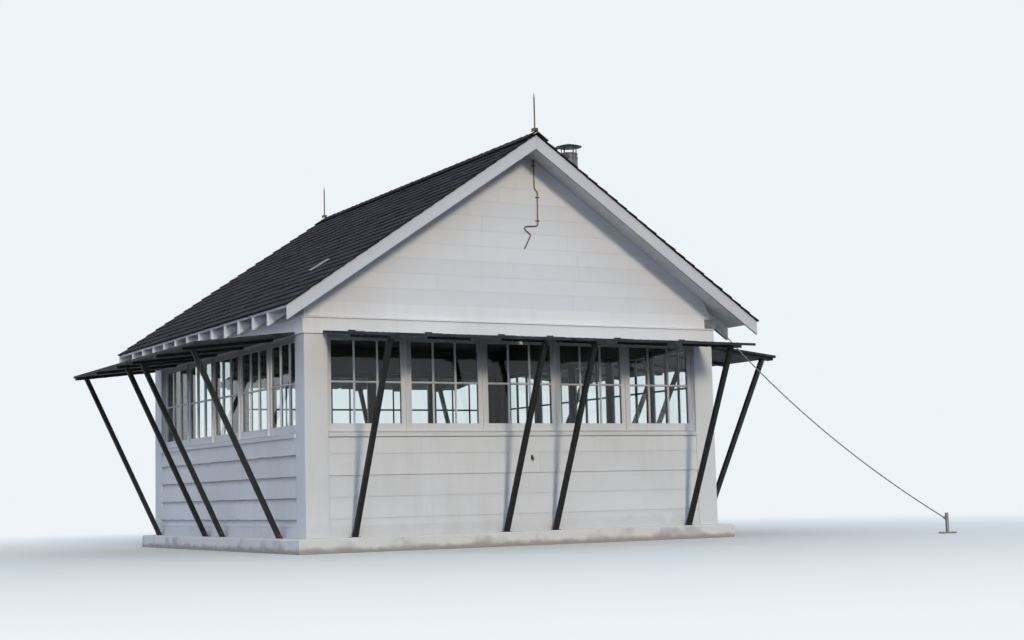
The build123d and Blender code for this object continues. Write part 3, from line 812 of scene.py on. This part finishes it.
def cleat(at, along, out, base, lean):
    """Two bent tabs that hold a prop's end by its sides, each bolted to it and screwed down."""
    for side in (-1, 1):
        inner = along + side * prop_half
        left, right = sorted((inner, inner + side * tab_length))
        irons.block(at, (left, out - tab_half, base), (right, out + tab_half, base + iron_thick))
        left, right = sorted((inner, inner + side * iron_thick))
        irons.solid(at, [
            (x, out + y + lean * z, base + z)
            for x in (left, right)
            for y in (-tab_half, tab_half)
            for z in (0, tab_rise)
        ])
        middle = (out + lean * tab_rise * 0.6, base + tab_rise * 0.6)
        irons.tube([at(inner, *middle), at(inner + side * prop_bolt_head, *middle)], prop_bolt, 6)


for wall in walls:
    leaves = Joinery()
    start, stop = wall.span(f"{wall.name}_shutters")
    width = (stop - start - pair_gap) / 2
    hinge_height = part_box(f"{wall.name}_shutters")[1].z
    at = leaf_at(wall, hinge_height)
    board = leaf_length / leaf_boards
    low_inset, high_inset = gable_props if wall.name in ("front", "rear") else side_props
    for left in (start, stop - width):
        for i in range(leaf_boards):
            board_low = (left, i * board, 0)
            board_high = (left + width, (i + 1) * board - leaf_gap, leaf_thick)
            leaves.block(at, board_low, board_high, random.random())
        first, last = left + low_inset, left + width - high_inset
        for rib in (first, (first + last) / 2, last):
            rib_low = (rib - rib_width / 2, rib_start, leaf_thick)
            rib_high = (rib + rib_width / 2, leaf_length - rib_end, leaf_thick + rib_thick)
            leaves.block(at, rib_low, rib_high, random.random())
            for i in range(leaf_boards):
                for step in (-screw_step, screw_step):
                    screw(at, rib + step, (i + 0.5) * board, 0, -1)
                    if 0 < i < leaf_boards - 1:
                        screw(at, rib + step, (i + 0.5) * board, leaf_thick + rib_thick, 1)
            strap_low = (rib - strap_width / 2, strap_start, -iron_thick)
            strap_high = (rib + strap_width / 2, strap_length, 0)
            irons.block(at, strap_low, strap_high)
            plate_low = (rib - strap_width / 2, belt_board, hinge_height)
            plate_high = (rib + strap_width / 2, belt_board + iron_thick, hinge_height + plate_rise)
            plates.block(wall.at, plate_low, plate_high)
            plate_face = belt_board + iron_thick
            up = hinge_height + plate_rise * 0.6
            for step in (-plate_screw_step, plate_screw_step):
                ends = [wall.at(rib + step, plate_face + out, up) for out in (0, screw_head)]
                plates.tube(ends, screw_radius, 8)
            pin = [at(rib + end * knuckle_half, -0.002, -knuckle * 0.6) for end in (-1, 1)]
            irons.tube(pin, knuckle, 10)
        for prop in (first, last):
            cleat(at, prop, prop_head_out, leaf_thick + rib_thick, prop_head_lean)
            cleat(wall.at, prop, prop_foot_out, wall_foot, prop_foot_lean)
    piece, replaced = f"{wall.name}_shutter_boards", [f"{wall.name}_shutters"]
    leaves.finish(piece, shutter_wood, "dark_stain", replaced, eased=0.0015)
irons.finish("shutter_irons", black_iron, "sheet_steel")
plates.finish("painted_hinge_plates", belt_paint, "white_paint")

bar_dark = (0.010, 0.012, 0.012)
bar_worn = (0.034, 0.037, 0.036)
prop_wood = sawn_wood("black_stained_bars", bar_dark, bar_worn, (70, 70, 6), 0.7)
dress(prop_wood, *(f"{wall.name}_props" for wall in walls))

# Stovepipe. Lengths of galvanised sheet, lap-seamed and pushed into each other, with a flared
# flashing on the shingles and a flat rain cap on four legs. Smoke has darkened all of it.

sheet, place = new_finish("sooty_galvanised_sheet")
spangle = place.node("ShaderNodeTexVoronoi", {}, {"Vector": place, "Scale": 90.0}, "Distance")
streaks = place.stretch(5, 5, 1.3).noise(1, 6, 0.65)
soot = (streaks + (place.height() - 3.4) * 0.3).between(0.35, 0.75)
rust = place.noise(16, 7, 0.7).between(0.58, 0.7)
metal = soot.mix((0.26, 0.27, 0.28), (0.045, 0.045, 0.048)).times(spangle * 0.25 + 0.88)
coat(sheet, {
    "Base Color": (rust * 0.6).mix(metal, (0.17, 0.075, 0.035)),
    "Metallic": (1 - rust) * 0.65,
    "Roughness": soot * 0.25 + 0.42,
    "Normal": (place.noise(24, 3) + spangle * 0.15).bump(0.0012),
})
dress(sheet, "stovepipe", "pipe_flashing", "pipe_cap")
pipe_low, pipe_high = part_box("stovepipe")
pipe_centre = (pipe_low + pipe_high) / 2
pipe_radius = (pipe_high.x - pipe_low.x) / 2
flashing_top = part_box("pipe_flashing")[1].z
band_places = (0.06, 0.52, 0.94)
band_height = 0.022
band_lip = 0.004
band_set = 0.001
band_sides = 48
seam_half = 0.007
rivet_count = 12
rivet_radius = 0.004
rivet_inset = 0.03
seams = Joinery()


def band(middle):
    """A short collar round the pipe, a little wider than the pipe."""
    inner = pipe_radius - band_set
    outer = inner + band_lip
    bottom, top = middle - band_height / 2, middle + band_height / 2
    profile = ((inner, bottom), (outer, bottom + band_lip), (outer, top - band_lip), (inner, top))
    angles = [math.tau * k / band_sides for k in range(band_sides)]
    rows = []
    for radius, up in profile:
        places = [(radius * math.cos(a), radius * math.sin(a)) for a in angles]
        rows.append([
            seams.mesh.verts.new((pipe_centre.x + x, pipe_centre.y + y, up)) for x, y in places
        ])
    for lower, upper in zip(rows, rows[1:] + rows[:1]):
        for k in range(band_sides):
            face = seams.mesh.faces.new((lower[k - 1], lower[k], upper[k], upper[k - 1]))
            face[seams.tone] = middle_tone


for part in band_places:
    band(flashing_top + (pipe_high.z - flashing_top) * part)
pipe_front = pipe_centre.y - pipe_radius
seam_low = (pipe_centre.x - seam_half, pipe_front - 0.003, flashing_top)
seam_high = (pipe_centre.x + seam_half, pipe_front + 0.004, pipe_high.z - 0.002)
seams.block(straight, seam_low, seam_high)
rivet_step = (pipe_high.z - flashing_top - 2 * rivet_inset) / (rivet_count - 1)
for i in range(rivet_count):
    up = flashing_top + rivet_inset + i * rivet_step
    ends = [straight(pipe_centre.x, pipe_front - out, up) for out in (0.003, 0.005)]
    seams.tube(ends, rivet_radius, 8)
seams.finish("pipe_seams", sheet, "sheet_steel")

# Lightning protection. Copper points on small saddles at both ends of the ridge, and a braided
# conductor that hangs down the front gable, where its last clip has let go.

copper, place = new_finish("weathered_copper")
green = place.noise(45, 6, 0.7).between(0.52, 0.7)
coat(copper, {
    "Base Color": green.mix((0.11, 0.075, 0.055), (0.13, 0.17, 0.14)),
    "Metallic": (1 - green) * 0.8,
    "Roughness": green * 0.3 + 0.42,
    "Normal": place.noise(300, 3).bump(0.0008),
})
dress(copper, "lightning_rods", "lightning_conductor")
staple_places = ((0.171, 3.50), (0.206, 3.20), (0.201, 2.98))
staple_wide = 0.012
staple_half = 0.005
staple_thick = 0.002
staple_ear = 0.006
conductor_thick = 0.012
staples = Joinery()
for along, up in staple_places:
    low_corner = (along - staple_wide, 0, up - staple_half)
    high_corner = (along + staple_wide, conductor_thick + staple_thick, up + staple_half)
    staples.block(walls[0].at, low_corner, high_corner)
    for side in (-1, 1):
        ear = along + side * (staple_wide + staple_ear)
        low_corner = (ear - staple_ear, 0, up - staple_half)
        high_corner = (ear + staple_ear, staple_thick, up + staple_half)
        staples.block(walls[0].at, low_corner, high_corner)
staples.finish("conductor_staples", copper, "copper", eased=0.001)

# Guy. A galvanised wire rope, six strands round a core, runs slack from a bracket on the front
# right corner to a stake. It keeps the light cab on its slab in a storm.

galvanised, place = new_finish("galvanised_wire")
dull = place.noise(30, 6, 0.7)
coat(galvanised, {
    "Base Color": dull.between(0.45, 0.75).mix((0.24, 0.245, 0.25), (0.13, 0.115, 0.10)),
    "Metallic": 0.75,
    "Roughness": dull * 0.3 + 0.4,
    "Normal": place.noise(200, 3).bump(0.0005),
})
dress(galvanised, "guy_bracket", "guy_anchor")

guy_height = 2.068
lug_reach = 0.050
guy_reach = 2.115
anchor_height = 0.150
guy_sag = 0.108
diagonal = Vector((1, -1, 0)).normalized()
cab_corner = Vector((walls[0].reach, -walls[0].reach, 0))
guy_top = cab_corner + diagonal * lug_reach + Vector((0, 0, guy_height))
guy_foot = cab_corner + diagonal * guy_reach + Vector((0, 0, anchor_height))
chord = guy_foot - guy_top
fall = chord.normalized()
lateral = Vector((1, 1, 0)).normalized()
rise = fall.cross(lateral)
rise *= math.copysign(1, rise.z)
guy_bend = (chord.length ** 2 / 4 + guy_sag ** 2) / (2 * guy_sag)
guy_centre = (guy_top + guy_foot) / 2 + rise * (guy_bend - guy_sag)
guy_sweep = math.asin(chord.length / 2 / guy_bend)
hidden_top = 0.030
hidden_foot = 0.010
strand_count = 6
strand_radius = 0.002
strand_sides = 6
core_radius = 0.0022
strand_lay = 0.078
lay_steps = 10
rope = Joinery()


def on_guy(run, turn=0.0, off=0.0):
    """A point so far down the guy's curve, turned round it and off its middle."""
    angle = run / guy_bend - guy_sweep
    outward = fall * math.sin(angle) - rise * math.cos(angle)
    return guy_centre + outward * (guy_bend + off * math.cos(turn)) + lateral * (off * math.sin(turn))


guy_run = 2 * guy_sweep * guy_bend + hidden_foot
steps = round((guy_run - hidden_top) / strand_lay * lay_steps)
runs = [hidden_top + (guy_run - hidden_top) * i / steps for i in range(steps + 1)]
for strand in range(strand_count):
    turns = [math.tau * (run / strand_lay + strand / strand_count) for run in runs]
    line = [on_guy(run, turn, 2 * strand_radius) for run, turn in zip(runs, turns)]
    rope.tube(line, strand_radius, strand_sides)
rope.tube([on_guy(run) for run in runs[::lay_steps]], core_radius, strand_sides)
rope.finish("guy_rope", galvanised, "galvanised_wire", ["guy_cable"], smooth=True)

bolt_inset = 0.05
bolt_rise = 0.028
bolt_radius = 0.010
bolt_head = 0.007
bracket_thick = 0.006
bolts = Joinery()
for wall, side in ((walls[0], 1), (walls[1], -1)):
    for up in (guy_height - bolt_rise, guy_height + bolt_rise):
        along = side * (wall.reach - bolt_inset)
        ends = [wall.at(along, bracket_thick + out, up) for out in (0, bolt_head)]
        bolts.tube(ends, bolt_radius, 6)
bolts.finish("bracket_bolts", galvanised, "galvanised_wire", eased=0.001)

# Stage. A pale floor fades into a pale backdrop. A soft, low and warm sun stands in front of the
# cab, and a bluish light from all round is brighter low down on the left. The floor throws
# little of either back.

backdrop = (0.86, 0.90, 0.94)
high_light = (0.50, 0.66, 0.89)
low_light = (2.70, 2.82, 3.40)
glow_left = 1.30
glow_round = 0.10
floor_white = (0.94, 0.85, 0.73)
floor_dark = (0.055, 0.052, 0.042)


def seen_rays(tree):
    """1 on rays from the camera, and on those that it sees in gloss and through glass."""
    path = tree.nodes.new("ShaderNodeLightPath").outputs
    rays = [Wire(path[f"Is {kind} Ray"]) for kind in ("Camera", "Glossy", "Transmission")]
    return (rays[0] + rays[1] + rays[2]).math("MINIMUM", 1.0)


floor_mesh = bpy.data.meshes.new("stage_floor")
floor_half = 90.0
floor_depth = -0.002
turns = ((-1, -1), (1, -1), (1, 1), (-1, 1))
corners = [(x * floor_half, y * floor_half, floor_depth) for x, y in turns]
floor_mesh.from_pydata(corners, [], [(0, 1, 2, 3)])
floor = bpy.data.objects.new("stage_floor", floor_mesh)
bpy.context.scene.collection.objects.link(floor)
floor_finish, place = new_finish("pale_floor")
floor_colour = seen_rays(floor_finish.node_tree).mix(floor_dark, floor_white)
coat(floor_finish, {"Base Color": floor_colour, "Roughness": 0.9, "Specular IOR Level": 0.0})
surface = floor_finish.node_tree.nodes["Principled BSDF"].outputs["BSDF"]
outlet = floor_finish.node_tree.nodes["Material Output"].inputs["Surface"]
distance = place.node("ShaderNodeVectorMath", {"operation": "LENGTH"}, {0: place}, "Value")
far_off = distance.between(3.5, 13)
pale = place.node("ShaderNodeEmission", {}, {"Color": (*backdrop, 1)})
faded = {0: far_off * seen_rays(floor_finish.node_tree), 1: Wire(surface), 2: pale}
floor_finish.node_tree.links.new(place.node("ShaderNodeMixShader", {}, faded).socket, outlet)
floor_mesh.materials.append(floor_finish)

world = bpy.data.worlds.new("daylight")
bpy.context.scene.world = world
world.use_nodes = True
surround = world.node_tree.nodes["Background"]
aim = Wire(world.node_tree.nodes.new("ShaderNodeTexCoord").outputs["Generated"])
glow = (aim.along(0) * -1).between(0.0, 1.0) * glow_left + glow_round
low_band = glow.mix((0, 0, 0), low_light)
all_round = aim.height().between(0.0, 0.30).mix(low_band, high_light)
seen_round = seen_rays(world.node_tree).mix(all_round, backdrop)
world.node_tree.links.new(seen_round.socket, surround.inputs["Color"])
surround.inputs["Strength"].default_value = 1.0

sun_light = bpy.data.lights.new("soft_sun", "SUN")
sun_light.energy = 1.60
sun_light.angle = math.radians(9)
sun_light.color = (1.0, 0.89, 0.72)
sun = bpy.data.objects.new("soft_sun", sun_light)
sun_from = Vector((-0.135, -0.96, 0.24))
sun.rotation_mode = "QUATERNION"
sun.rotation_quaternion = sun_from.to_track_quat("Z", "Y")
bpy.context.scene.collection.objects.link(sun)

# Camera. It stands where the photograph was taken from, low on the front left, with a longer
# lens, and is tipped a little to one side.

camera_spot = Vector((-7.42, -15.24, 0.44))
heading = math.radians(29.2)
lift = math.radians(6.1)
roll = math.radians(-1.42)
ahead = Vector((math.sin(heading) * math.cos(lift), math.cos(heading) * math.cos(lift), math.sin(lift)))
level_right = Vector((math.cos(heading), -math.sin(heading), 0))
level_up = level_right.cross(ahead)
right = level_right * math.cos(roll) + level_up * math.sin(roll)
up = level_up * math.cos(roll) - level_right * math.sin(roll)
lens = bpy.data.cameras.new("photo_lens")
lens.lens = 58
lens.sensor_width = 36
lens.clip_end = 300
camera = bpy.data.objects.new("photo_lens", lens)
camera.matrix_world = Matrix.Translation(camera_spot) @ Matrix((right, up, -ahead)).transposed().to_4x4()
bpy.context.scene.collection.objects.link(camera)
bpy.context.scene.camera = camera
bpy.context.scene.view_settings.view_transform = "Standard"
